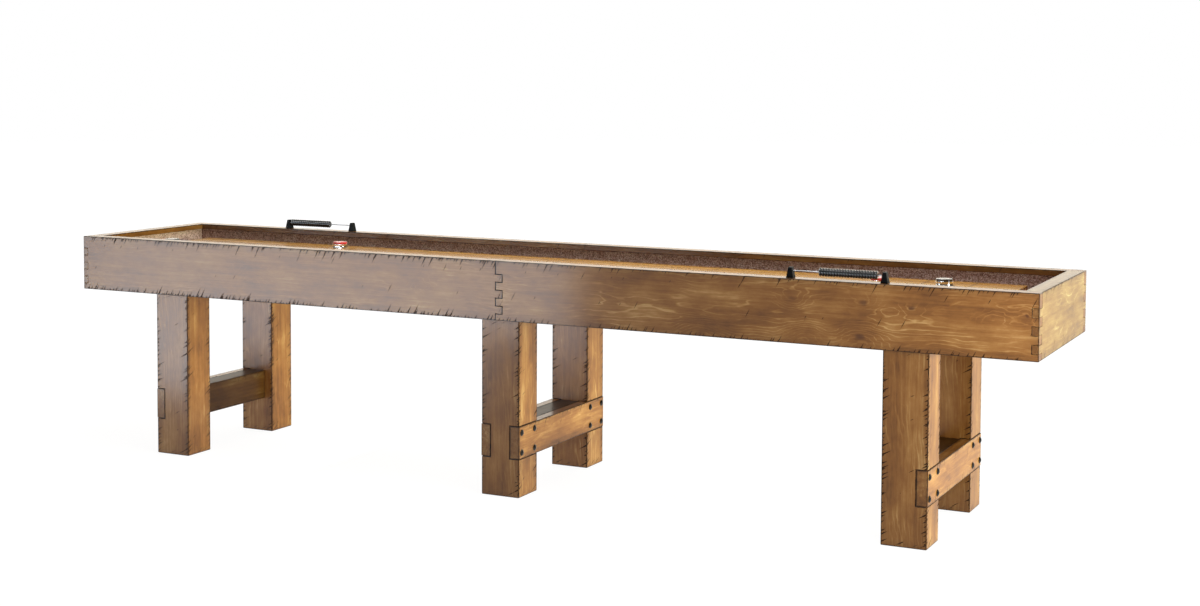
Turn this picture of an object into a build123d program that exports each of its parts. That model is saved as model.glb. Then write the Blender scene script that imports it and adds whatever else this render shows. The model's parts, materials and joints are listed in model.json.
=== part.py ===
from build123d import *
import os

# Shuffleboard table, 12 ft long. Millimetres, +X along the length, +Y to the rear, +Z up.
# The origin is on the floor under the middle of the table.

# ---------------------------------------------------------------- driving dimensions
LENGTH = 3658.0
WIDTH = 692.0
TOP_Z = 813.0
RAIL_HEIGHT = 203.0
RAIL_THICK = 38.0

LIP_WIDTH = 15.0
LIP_HEIGHT = 20.0

SPLICE_X = 8.0            # middle of the finger joint that joins the two cabinet halves
SPLICE_DEPTH = 27.0
CORNER_DEPTH = 21.0
FINGER = 27.0             # height of a finger, and of the gap between two fingers
FIRST_FINGER = 22.5       # lowest finger above the rail's bottom
FINGER_COUNT = 3

BEARER_THICK = 24.0
LEG_BEARER_WIDTH = 220.0
MID_BEARER_WIDTH = 100.0
MID_BEARER_X = 474.0
PANEL_THICK = 12.0
CLEAT_WIDTH = 24.0
GUTTER_CARPET = 4.0
WALL_CARPET = 3.0
CARPET_SEAM_X = 4.0

PLAYFIELD_LENGTH = 3340.0
PLAYFIELD_WIDTH = 406.0
PLAYFIELD_THICK = 44.0
PLAYFIELD_DROP = 45.0     # rim top down to the playing surface
RISER_WIDTH = 80.0
RISER_SPAN = 320.0
CARPET_INNER_Y = 165.0
END_CARPET_X = 1480.0

LEG_X = 1421.0
LEG_WIDTH = 146.0
LEG_DEPTH = 130.0
LEG_SETBACK = 25.0
LEG_BOTTOM = 2.0

PLATE_LOW = 135.0
PLATE_HEIGHT = 112.0
PLATE_THICK = 35.0
PLATE_PROUD = 1.5
TENON_THICK = 22.0
TENON_HEIGHT = 72.0
TENON_LENGTH = 40.0
TENON_GAP = 0.2

BOLT_SHANK = 10.0
BOLT_LENGTH = 60.0
BOLT_HEAD = 22.0
BOLT_HEAD_RISE = 6.0
BOLT_HEAD_ROUND = 5.5
BOLT_ROWS = (22.0, 90.0)          # above the plate's bottom edge
BOLT_COLUMNS = (18.0, 108.0)      # from the leg's outer face
BOLT_GAP = 0.2

LEG_BOLT_LENGTH = 76.0
LEG_BOLT_OFFSET = 40.0
LEG_BOLT_HEX = 17.0
LEG_BOLT_HEAD = 7.0
COUNTERBORE = 26.0
COUNTERBORE_DEPTH = 10.0

PAD_DIAMETER = 40.0
PAD_THICK = 5.0
STEM_DIAMETER = 10.0
STEM_TOP = 50.0
INSERT_DIAMETER = 16.0
INSERT_LENGTH = 20.0

ADJUSTER_X = (-948.0, 0.0, 948.0)
ADJUSTER_DROP = 22.0      # playfield's underside down to the rod
BRACKET_Y = 150.0
BRACKET_SIZE = 40.0
BRACKET_THICK = 4.0
ROD_DIAMETER = 10.0
ROD_INNER_Y = 20.0
ROD_OUTER_Y = 175.0
TURNBUCKLE_HEX = 19.0
TURNBUCKLE_LENGTH = 120.0
NUT_HEX = 17.0
NUT_THICK = 8.0
RUNNING_GAP = 0.05

SPLICE_PLATE_LENGTH = 300.0
SPLICE_PLATE_HEIGHT = 60.0
SPLICE_PLATE_THICK = 4.0
SPLICE_PLATE_LOW = 680.0
SPLICE_SCREW_X = (-120.0, -80.0, -40.0, 40.0, 80.0, 120.0)

POST_INNER_X = 1046.0
POST_OUTER_X = 1352.0
POST_BASE = 24.0
POST_TOP_X = 11.0
POST_TOP_Y = 19.0
POST_HEIGHT = 34.0
SCORER_ROD = 3.2
SCORER_ROD_RISE = 23.0
SCORER_STUD = 5.0
SCORER_STUD_LENGTH = 30.0
BEAD_DIAMETER = 26.5
BEAD_THICK = 8.8
BEAD_PITCH = 9.0
BEAD_BORE = 4.0
BEAD_ROUND = 2.6
BEADS_COUNTED = 7
BEADS_TOTAL = 21
FRONT_BEADS_END = 1328.7  # the end of the front row that faces the outer post
REAR_BEADS_END = 1341.0

PUCK_DIAMETER = 57.0
PUCK_BASE_HEIGHT = 14.0
PUCK_WAIST = 1.6
CAP_DIAMETER = 55.0
CAP_HEIGHT = 8.0
CAP_ROUND = 3.0
PUCKS = {"red_far": (-980.0, 140.0), "black_near": (1427.0, 80.0),
         "red_near": (1227.0, 12.0), "black_far": (-1626.0, -74.0)}

# ---------------------------------------------------------------- places worked out
HALF_LENGTH = LENGTH / 2
HALF_WIDTH = WIDTH / 2
RAIL_Z = TOP_Z - RAIL_HEIGHT
INNER_X = HALF_LENGTH - RAIL_THICK
INNER_Y = HALF_WIDTH - RAIL_THICK
LIP_X = INNER_X - LIP_WIDTH
LIP_Y = INNER_Y - LIP_WIDTH
LIP_Z = TOP_Z - LIP_HEIGHT
BEARER_TOP = RAIL_Z + BEARER_THICK
PLAYFIELD_TOP = TOP_Z - PLAYFIELD_DROP
PLAYFIELD_Z = PLAYFIELD_TOP - PLAYFIELD_THICK
LEG_OUTER_Y = HALF_WIDTH - LEG_SETBACK
LEG_INNER_Y = LEG_OUTER_Y - LEG_DEPTH
LEG_Y = LEG_OUTER_Y - LEG_DEPTH / 2
WEB_THICK = LEG_WIDTH - 2 * PLATE_THICK
PLATE_TOP = PLATE_LOW + PLATE_HEIGHT
SCORER_Y = HALF_WIDTH - (RAIL_THICK + LIP_WIDTH) / 2
SCORER_ROD_Z = TOP_Z + SCORER_ROD_RISE
ADJUSTER_Z = PLAYFIELD_Z - ADJUSTER_DROP
LEG_PLACES = {"left": -LEG_X, "middle": 0.0, "right": LEG_X}
LEG_SIDES = {"front": -1, "rear": 1}
PLATE_SIDES = {"left": (-1,), "middle": (-1, 1), "right": (1,)}
BEARERS = [(place, LEG_BEARER_WIDTH) for place in LEG_PLACES.values()]
BEARERS += [(-MID_BEARER_X, MID_BEARER_WIDTH), (MID_BEARER_X, MID_BEARER_WIDTH)]
BEARERS.sort()
RISER_PLACES = (-LEG_X, -MID_BEARER_X, MID_BEARER_X, LEG_X)

os.makedirs("parts", exist_ok=True)


# ---------------------------------------------------------------- helpers
def block(x, y, z):
    """A box between pairs of coordinates, each pair in either order."""
    size = [abs(b - a) for a, b in (x, y, z)]
    middle = [(a + b) / 2 for a, b in (x, y, z)]
    return Pos(*middle) * Box(*size)


def rod_z(x, y, diameter, low, high):
    """An upright cylinder."""
    return Pos(x, y, (low + high) / 2) * Cylinder(diameter / 2, high - low)


def rod_x(y, z, diameter, low, high):
    """A cylinder along X."""
    return Pos((low + high) / 2, y, z) * Rot(0, 90, 0) * Cylinder(diameter / 2, high - low)


def rod_y(x, z, diameter, low, high):
    """A cylinder along Y."""
    return Pos(x, (low + high) / 2, z) * Rot(90, 0, 0) * Cylinder(diameter / 2, high - low)


def hexagon(across_flats, height):
    """An upright hexagonal prism that starts at z = 0."""
    return extrude(RegularPolygon(across_flats / 2, 6, major_radius=False), height)


def save(name, pieces):
    """Writes one node, which is one solid or a group of separate solids."""
    solids = pieces if isinstance(pieces, list) else [pieces]
    shape = solids[0] if len(solids) == 1 else Compound(children=solids)
    export_step(shape, f"parts/{name}.step")


def finger_bands():
    """Low and high z of each finger."""
    first = RAIL_Z + FIRST_FINGER
    return [(first + 2 * n * FINGER, first + (2 * n + 1) * FINGER) for n in range(FINGER_COUNT)]


# ---------------------------------------------------------------- cabinet
def splice_fingers(side):
    """The left half's fingers, which reach into the right half."""
    x = (SPLICE_X - SPLICE_DEPTH / 2, SPLICE_X + SPLICE_DEPTH / 2)
    y = (side * INNER_Y, side * HALF_WIDTH)
    return [block(x, y, band) for band in finger_bands()]


def corner_fingers(end, side):
    """The end rail's fingers, which show on the long face."""
    x = (end * (HALF_LENGTH - CORNER_DEPTH), end * HALF_LENGTH)
    y = (side * INNER_Y, side * HALF_WIDTH)
    return [block(x, y, band) for band in finger_bands()]


def splice_pocket(side):
    """The space let into a rail's inner face for its splice plate."""
    x = (SPLICE_X - SPLICE_PLATE_LENGTH / 2, SPLICE_X + SPLICE_PLATE_LENGTH / 2)
    y = (side * INNER_Y, side * (INNER_Y + SPLICE_PLATE_THICK))
    return block(x, y, (SPLICE_PLATE_LOW, SPLICE_PLATE_LOW + SPLICE_PLATE_HEIGHT))


def splice_screws(side, gap=0.0):
    """Screws through one splice plate, or with a gap the holes that they sit in."""
    z = SPLICE_PLATE_LOW + SPLICE_PLATE_HEIGHT / 2
    low, high = sorted((side * INNER_Y, side * (INNER_Y + 30.0 + gap)))
    return [rod_y(SPLICE_X + x, z, 5.0 + 2 * gap, low, high) for x in SPLICE_SCREW_X]


def scorer_studs(side, gap=0.0):
    """Studs that hold a scorer's two posts, or with a gap their holes."""
    low = TOP_Z - SCORER_STUD_LENGTH / 2 - gap
    high = TOP_Z + SCORER_STUD_LENGTH / 2 + gap
    places = (-side * POST_INNER_X, -side * POST_OUTER_X)
    return [rod_z(x, side * SCORER_Y, SCORER_STUD + 2 * gap, low, high) for x in places]


def make_rails():
    """Four half rails, with the finger joints at the middle and at the corners."""
    for side_name, side in LEG_SIDES.items():
        y = (side * INNER_Y, side * HALF_WIDTH)
        for end_name, end in (("left", -1), ("right", 1)):
            joint_x = SPLICE_X - SPLICE_DEPTH / 2
            rail = block((end * HALF_LENGTH, joint_x), y, (RAIL_Z, TOP_Z))
            for finger in splice_fingers(side):
                rail = rail + finger if end < 0 else rail - finger
            for finger in corner_fingers(end, side):
                rail -= finger
            rail -= splice_pocket(side)
            for hole in splice_screws(side, 0.1) + scorer_studs(side, 0.1):
                rail -= hole
            save(f"{side_name}_rail_{end_name}", rail)
    for end_name, end in (("left", -1), ("right", 1)):
        rail = block((end * INNER_X, end * HALF_LENGTH), (-INNER_Y, INNER_Y), (RAIL_Z, TOP_Z))
        for side in LEG_SIDES.values():
            for finger in corner_fingers(end, side):
                rail += finger
        save(f"end_rail_{end_name}", rail)


def make_lips():
    """The strips that overhang the carpet around the inside of the rim."""
    side_lips = []
    for side in LEG_SIDES.values():
        for end in (-1, 1):
            x = (end * INNER_X, SPLICE_X)
            side_lips.append(block(x, (side * LIP_Y, side * INNER_Y), (LIP_Z, TOP_Z)))
    save("side_lips", side_lips)
    end_lips = [block((end * LIP_X, end * INNER_X), (-LIP_Y, LIP_Y), (LIP_Z, TOP_Z)) for end in (-1, 1)]
    save("end_lips", end_lips)


def make_splice_plates():
    """Steel plates across the middle joint, each with its row of screws."""
    pieces = []
    for side in LEG_SIDES.values():
        plate = splice_pocket(side)
        for hole in splice_screws(side, 0.1):
            plate -= hole
        pieces.append(plate)
        pieces += splice_screws(side)
    save("splice_plates", pieces)


# ---------------------------------------------------------------- cabinet floor
def leg_bolt_places(x, side):
    """Centres of the two bolts that hold one leg."""
    return [(x + offset, side * LEG_Y) for offset in (-LEG_BOLT_OFFSET, LEG_BOLT_OFFSET)]


def make_bearers():
    """Cross bearers between the long rails, counterbored over each leg."""
    bearers = []
    for x, width in BEARERS:
        bearer = block((x - width / 2, x + width / 2), (-INNER_Y, INNER_Y), (RAIL_Z, BEARER_TOP))
        if width == LEG_BEARER_WIDTH:
            for side in LEG_SIDES.values():
                for bx, by in leg_bolt_places(x, side):
                    bearer -= rod_z(bx, by, BOLT_SHANK + 2 * BOLT_GAP, RAIL_Z, BEARER_TOP)
                    bearer -= rod_z(bx, by, COUNTERBORE, BEARER_TOP - COUNTERBORE_DEPTH, BEARER_TOP)
        bearers.append(bearer)
    save("cross_bearers", bearers)


def bays():
    """Stretches of x between neighbouring bearers and out to the end rails."""
    edges = [-INNER_X]
    for x, width in BEARERS:
        edges += [x - width / 2, x + width / 2]
    edges.append(INNER_X)
    return list(zip(edges[0::2], edges[1::2]))


def make_floor():
    """Plywood panels between the bearers, on cleats along the long rails."""
    panel_z = (BEARER_TOP - PANEL_THICK, BEARER_TOP)
    save("bottom_panels", [block(bay, (-INNER_Y, INNER_Y), panel_z) for bay in bays()])
    cleats = []
    for side in LEG_SIDES.values():
        y = (side * (INNER_Y - CLEAT_WIDTH), side * INNER_Y)
        cleats += [block(bay, y, (RAIL_Z, BEARER_TOP - PANEL_THICK)) for bay in bays()]
    save("floor_cleats", cleats)


def make_carpets():
    """Carpet on the inner walls and on the gutter floor."""
    wall_z = (BEARER_TOP, LIP_Z)
    walls = []
    for side in LEG_SIDES.values():
        y = (side * (INNER_Y - WALL_CARPET), side * INNER_Y)
        walls += [block((end * INNER_X, CARPET_SEAM_X), y, wall_z) for end in (-1, 1)]
    save("side_wall_carpets", walls)
    end_y = (WALL_CARPET - INNER_Y, INNER_Y - WALL_CARPET)
    ends = [block((end * (INNER_X - WALL_CARPET), end * INNER_X), end_y, wall_z) for end in (-1, 1)]
    save("end_wall_carpets", ends)
    floor_z = (BEARER_TOP, BEARER_TOP + GUTTER_CARPET)
    reach = INNER_X - WALL_CARPET
    floor = [block((-reach, reach), (side * CARPET_INNER_Y, side * end_y[1]), floor_z)
             for side in LEG_SIDES.values()]
    floor += [block((end * END_CARPET_X, end * reach), (-CARPET_INNER_Y, CARPET_INNER_Y), floor_z)
              for end in (-1, 1)]
    save("gutter_carpets", floor)


# ---------------------------------------------------------------- playfield
def make_playfield():
    """The playing board and the risers that it rests on."""
    half = (PLAYFIELD_LENGTH / 2, PLAYFIELD_WIDTH / 2)
    board = block((-half[0], half[0]), (-half[1], half[1]), (PLAYFIELD_Z, PLAYFIELD_TOP))
    save("playfield", chamfer(board.edges().group_by(Axis.Z)[-1], 1.5))
    risers = [block((x - RISER_WIDTH / 2, x + RISER_WIDTH / 2), (-RISER_SPAN / 2, RISER_SPAN / 2),
                    (BEARER_TOP, PLAYFIELD_Z)) for x in RISER_PLACES]
    save("playfield_risers", risers)


def bracket(x, side):
    """An angle bracket under the playfield, open towards the middle, with the rod's hole."""
    near, far = BRACKET_Y, BRACKET_Y + BRACKET_THICK
    wide = (x - BRACKET_SIZE / 2, x + BRACKET_SIZE / 2)
    seat = PLAYFIELD_Z - BRACKET_THICK
    flange = block(wide, (side * (far - BRACKET_SIZE), side * far), (seat, PLAYFIELD_Z))
    web = block(wide, (side * near, side * far), (PLAYFIELD_Z - BRACKET_SIZE, seat))
    hole = rod_y(x, ADJUSTER_Z, ROD_DIAMETER + 0.4, *sorted((side * near, side * far)))
    return flange + web - hole


def make_adjusters():
    """Three turnbuckles that bow the playing board across its width."""
    brackets = []
    rods = []
    for number, x in enumerate(ADJUSTER_X, 1):
        for side in LEG_SIDES.values():
            brackets.append(bracket(x, side))
            rods.append(rod_y(x, ADJUSTER_Z, ROD_DIAMETER, *sorted((side * ROD_INNER_Y, side * ROD_OUTER_Y))))
            nut = hexagon(NUT_HEX, NUT_THICK) - Cylinder(ROD_DIAMETER / 2 + RUNNING_GAP, 4 * NUT_THICK)
            turn = -90 * side
            rods.append(Pos(x, side * (BRACKET_Y + BRACKET_THICK), ADJUSTER_Z) * Rot(turn, 0, 0) * nut)
        sleeve = hexagon(TURNBUCKLE_HEX, TURNBUCKLE_LENGTH)
        sleeve = Pos(x, TURNBUCKLE_LENGTH / 2, ADJUSTER_Z) * Rot(90, 0, 0) * sleeve
        bore = ROD_DIAMETER + 2 * RUNNING_GAP
        sleeve -= rod_y(x, ADJUSTER_Z, bore, -TURNBUCKLE_LENGTH / 2, TURNBUCKLE_LENGTH / 2)
        save(f"turnbuckle_{number}", sleeve)
    save("adjuster_brackets", brackets)
    save("adjuster_rods", rods)


# ---------------------------------------------------------------- legs
def plate_bolt(x, y, z, direction, gap=0.0):
    """A domed bolt driven in along X from the plate's face, or with a gap its hole."""
    shank = rod_z(0, 0, BOLT_SHANK + 2 * gap, -BOLT_LENGTH - gap, 0)
    if not gap:
        dome = rod_z(0, 0, BOLT_HEAD, 0, BOLT_HEAD_RISE)
        shank += fillet(dome.edges().group_by(Axis.Z)[-1], BOLT_HEAD_ROUND)
    return Pos(x, y, z) * Rot(0, 90 * direction, 0) * shank


def plate_bolts(x, direction, sides, gap=0.0):
    """The bolts through one side plate into the legs on the given sides."""
    face = x + direction * (LEG_WIDTH / 2 + PLATE_PROUD)
    bolts = []
    for side in sides:
        for column in BOLT_COLUMNS:
            for row in BOLT_ROWS:
                y = side * (LEG_OUTER_Y - column)
                bolts.append(plate_bolt(face, y, PLATE_LOW + row, direction, gap))
    return bolts


def tenon(x, side, gap=0.0):
    """A cross beam's tenon, or with a gap the mortise for it."""
    thick = TENON_THICK / 2 + gap
    middle = (PLATE_LOW + PLATE_TOP) / 2
    tall = TENON_HEIGHT / 2 + gap
    y = (side * LEG_INNER_Y, side * (LEG_INNER_Y + TENON_LENGTH + gap))
    return block((x - thick, x + thick), y, (middle - tall, middle + tall))


def make_leg(place, x, side_name, side):
    """A leg with its plate notches, mortise and bores."""
    leg = block((x - LEG_WIDTH / 2, x + LEG_WIDTH / 2), (side * LEG_INNER_Y, side * LEG_OUTER_Y),
                (LEG_BOTTOM, RAIL_Z))
    for direction in PLATE_SIDES[place]:
        notch_x = (x + direction * WEB_THICK / 2, x + direction * LEG_WIDTH)
        leg -= block(notch_x, (side * LEG_INNER_Y, side * LEG_OUTER_Y), (PLATE_LOW, PLATE_TOP))
        for hole in plate_bolts(x, direction, (side,), BOLT_GAP):
            leg -= hole
    leg -= tenon(x, side, TENON_GAP)
    for bx, by in leg_bolt_places(x, side):
        tip = BEARER_TOP - COUNTERBORE_DEPTH - LEG_BOLT_LENGTH - BOLT_GAP
        leg -= rod_z(bx, by, BOLT_SHANK + 2 * BOLT_GAP, tip, RAIL_Z)
    y = side * LEG_Y
    pocket = PAD_THICK + 1.5
    leg -= rod_z(x, y, PAD_DIAMETER + 2.0, LEG_BOTTOM, pocket)
    leg -= rod_z(x, y, INSERT_DIAMETER + 0.1, pocket, pocket + INSERT_LENGTH)
    leg -= rod_z(x, y, STEM_DIAMETER + 1.0, pocket + INSERT_LENGTH, STEM_TOP + 5.0)
    save(f"leg_{place}_{side_name}", leg)


def make_leg_frames():
    """Legs, cross beams, side plates and their bolts."""
    bolts = []
    for place, x in LEG_PLACES.items():
        for side_name, side in LEG_SIDES.items():
            make_leg(place, x, side_name, side)
        beam = block((x - WEB_THICK / 2, x + WEB_THICK / 2), (-LEG_INNER_Y, LEG_INNER_Y),
                     (PLATE_LOW, PLATE_TOP))
        save(f"cross_beam_{place}", beam + tenon(x, -1) + tenon(x, 1))
        for direction in PLATE_SIDES[place]:
            outer = x + direction * (LEG_WIDTH / 2 + PLATE_PROUD)
            plate = block((x + direction * WEB_THICK / 2, outer), (-LEG_OUTER_Y, LEG_OUTER_Y),
                          (PLATE_LOW, PLATE_TOP))
            for hole in plate_bolts(x, direction, (-1, 1), BOLT_GAP):
                plate -= hole
            facing = {-1: "left", 1: "right"}[direction]
            name = f"side_plate_{place}" if place != "middle" else f"side_plate_middle_{facing}"
            save(name, plate)
            bolts += plate_bolts(x, direction, (-1, 1))
    save("plate_bolts", bolts)


def make_leg_fasteners():
    """Bolts that hold the legs to the bearers."""
    bolts = []
    for x in LEG_PLACES.values():
        for side in LEG_SIDES.values():
            for bx, by in leg_bolt_places(x, side):
                seat = BEARER_TOP - COUNTERBORE_DEPTH
                shank = rod_z(bx, by, BOLT_SHANK, seat - LEG_BOLT_LENGTH, seat)
                bolts.append(shank + Pos(bx, by, seat) * hexagon(LEG_BOLT_HEX, LEG_BOLT_HEAD))
    save("leg_bolts", bolts)


def make_levelers():
    """Screw feet and the threaded inserts that they turn in."""
    inserts = []
    low = PAD_THICK + 1.5
    for place, x in LEG_PLACES.items():
        for side_name, side in LEG_SIDES.items():
            y = side * LEG_Y
            insert = rod_z(x, y, INSERT_DIAMETER, low, low + INSERT_LENGTH)
            inserts.append(insert - rod_z(x, y, STEM_DIAMETER + 2 * RUNNING_GAP, low, low + INSERT_LENGTH))
            pad = chamfer(rod_z(x, y, PAD_DIAMETER, 0, PAD_THICK).edges().group_by(Axis.Z)[-1], 1.0)
            save(f"leveler_{place}_{side_name}", pad + rod_z(x, y, STEM_DIAMETER, PAD_THICK, STEM_TOP))
    save("leveler_inserts", inserts)


# ---------------------------------------------------------------- scorers
def post(x, y):
    """A tapered post that stands on the rim."""
    base = Pos(x, y, TOP_Z) * Rectangle(POST_BASE, POST_BASE)
    top = Pos(x, y, TOP_Z + POST_HEIGHT) * Rectangle(POST_TOP_X, POST_TOP_Y)
    return loft([base, top])


def bead(x, y):
    """A counting bead with a rounded rim, bored for the rod."""
    disc = Cylinder(BEAD_DIAMETER / 2, BEAD_THICK)
    disc = fillet(disc.edges().filter_by(GeomType.CIRCLE), BEAD_ROUND) - Cylinder(BEAD_BORE / 2, BEAD_THICK)
    return Pos(x, y, SCORER_ROD_Z) * Rot(0, 90, 0) * disc


def make_scorers():
    """A scorer on each long rail: two posts, a rod and a row of beads."""
    posts = []
    rods = []
    studs = []
    for side_name, side in LEG_SIDES.items():
        y = side * SCORER_Y
        outward = -side
        places = sorted((outward * POST_INNER_X, outward * POST_OUTER_X))
        bore = rod_x(y, SCORER_ROD_Z, SCORER_ROD + 0.2, *places)
        for x in places:
            piece = post(x, y) - bore
            for hole in scorer_studs(side, 0.1):
                piece -= hole
            posts.append(piece)
        rods.append(rod_x(y, SCORER_ROD_Z, SCORER_ROD, *places))
        studs += scorer_studs(side)
        last = FRONT_BEADS_END if side < 0 else REAR_BEADS_END
        centres = [outward * (last - (n + 0.5) * BEAD_PITCH) for n in range(BEADS_TOTAL)]
        held = BEADS_TOTAL - BEADS_COUNTED
        save(f"{side_name}_beads_held", [bead(x, y) for x in centres[:held]])
        save(f"{side_name}_beads_counted", [bead(x, y) for x in centres[held:]])
    save("scorer_posts", posts)
    save("scorer_rods", rods)
    save("scorer_studs", studs)


# ---------------------------------------------------------------- pucks
def make_pucks():
    """Sliding weights: a waisted steel base with a plastic cap."""
    radius = PUCK_DIAMETER / 2
    with BuildSketch(Plane.XZ) as section:
        with BuildLine():
            Polyline((radius - 1, 0), (0, 0), (0, PUCK_BASE_HEIGHT), (radius - 1, PUCK_BASE_HEIGHT),
                     (radius, PUCK_BASE_HEIGHT - 1))
            ThreePointArc((radius, PUCK_BASE_HEIGHT - 1), (radius - PUCK_WAIST, PUCK_BASE_HEIGHT / 2),
                          (radius, 1))
            Line((radius, 1), (radius - 1, 0))
        make_face()
    base = revolve(section.sketch, Axis.Z)
    cap = Pos(0, 0, PUCK_BASE_HEIGHT + CAP_HEIGHT / 2) * Cylinder(CAP_DIAMETER / 2, CAP_HEIGHT)
    cap = fillet(cap.edges().group_by(Axis.Z)[-1], CAP_ROUND)
    for name, (x, y) in PUCKS.items():
        place = Pos(x, y, PLAYFIELD_TOP)
        save(f"puck_{name}_base", place * base)
        save(f"puck_{name}_cap", place * cap)


make_rails()
make_lips()
make_splice_plates()
make_bearers()
make_floor()
make_carpets()
make_playfield()
make_adjusters()
make_leg_frames()
make_leg_fasteners()
make_levelers()
make_scorers()
make_pucks()
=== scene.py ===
import json
import math

import bmesh
import bpy
from mathutils import Matrix, Vector, noise

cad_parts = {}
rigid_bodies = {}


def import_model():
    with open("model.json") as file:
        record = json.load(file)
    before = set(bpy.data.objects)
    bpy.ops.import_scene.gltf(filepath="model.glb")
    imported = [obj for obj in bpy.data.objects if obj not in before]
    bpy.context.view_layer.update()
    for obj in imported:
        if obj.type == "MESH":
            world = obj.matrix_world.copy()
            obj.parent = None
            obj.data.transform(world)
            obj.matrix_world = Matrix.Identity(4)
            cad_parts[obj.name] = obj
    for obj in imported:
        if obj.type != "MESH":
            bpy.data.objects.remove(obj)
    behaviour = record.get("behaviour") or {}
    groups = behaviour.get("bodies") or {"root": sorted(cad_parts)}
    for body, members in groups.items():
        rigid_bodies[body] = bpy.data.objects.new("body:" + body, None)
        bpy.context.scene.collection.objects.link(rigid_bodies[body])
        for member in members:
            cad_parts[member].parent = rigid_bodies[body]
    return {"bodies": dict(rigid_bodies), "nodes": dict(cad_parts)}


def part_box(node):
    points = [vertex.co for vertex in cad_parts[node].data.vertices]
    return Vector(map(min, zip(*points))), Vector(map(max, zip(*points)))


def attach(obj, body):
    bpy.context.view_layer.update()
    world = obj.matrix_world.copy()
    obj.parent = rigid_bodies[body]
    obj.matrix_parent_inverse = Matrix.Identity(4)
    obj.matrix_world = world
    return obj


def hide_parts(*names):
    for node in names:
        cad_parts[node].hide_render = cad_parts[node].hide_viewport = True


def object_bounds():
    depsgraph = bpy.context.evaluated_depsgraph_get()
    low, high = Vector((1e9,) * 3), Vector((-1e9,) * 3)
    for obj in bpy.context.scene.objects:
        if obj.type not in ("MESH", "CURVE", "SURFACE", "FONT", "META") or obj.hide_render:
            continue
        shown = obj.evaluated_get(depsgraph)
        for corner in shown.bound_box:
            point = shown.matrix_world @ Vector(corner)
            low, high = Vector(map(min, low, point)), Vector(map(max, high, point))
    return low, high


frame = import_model()
cad_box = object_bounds()

# A shuffleboard table in distressed, lacquered wood. Metres, +X along the length, +Y to the rear.
X, Y, Z = 0, 1, 2
MM = 0.001
TABLE = "table"


# ---------------------------------------------------------------- camera
CAMERA_PLACE = (2.9434, -5.4614, 1.4567)
CAMERA_YAW = 26.091       # degrees to the left of +Y
CAMERA_PITCH = 3.078      # degrees below the horizon
CAMERA_ROLL = 0.294
SENSOR_WIDTH = 36
CAMERA_LENS = 52.431
CAMERA_SHIFT = (-0.0113, -0.1150)


def make_camera():
    """The camera, at the photograph's angle."""
    data = bpy.data.cameras.new("camera")
    data.sensor_width = SENSOR_WIDTH
    data.lens = CAMERA_LENS
    data.shift_x, data.shift_y = CAMERA_SHIFT
    camera = bpy.data.objects.new("camera", data)
    turn = Matrix.Rotation(math.radians(CAMERA_YAW), 4, "Z")
    tip = Matrix.Rotation(math.radians(90 - CAMERA_PITCH), 4, "X")
    roll = Matrix.Rotation(math.radians(CAMERA_ROLL), 4, "Z")
    camera.matrix_world = Matrix.Translation(CAMERA_PLACE) @ turn @ tip @ roll
    bpy.context.scene.collection.objects.link(camera)
    bpy.context.scene.camera = camera


# ---------------------------------------------------------------- shader helpers
def rgb(red, green, blue):
    """A linear colour."""
    return (red, green, blue, 1.0)


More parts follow.
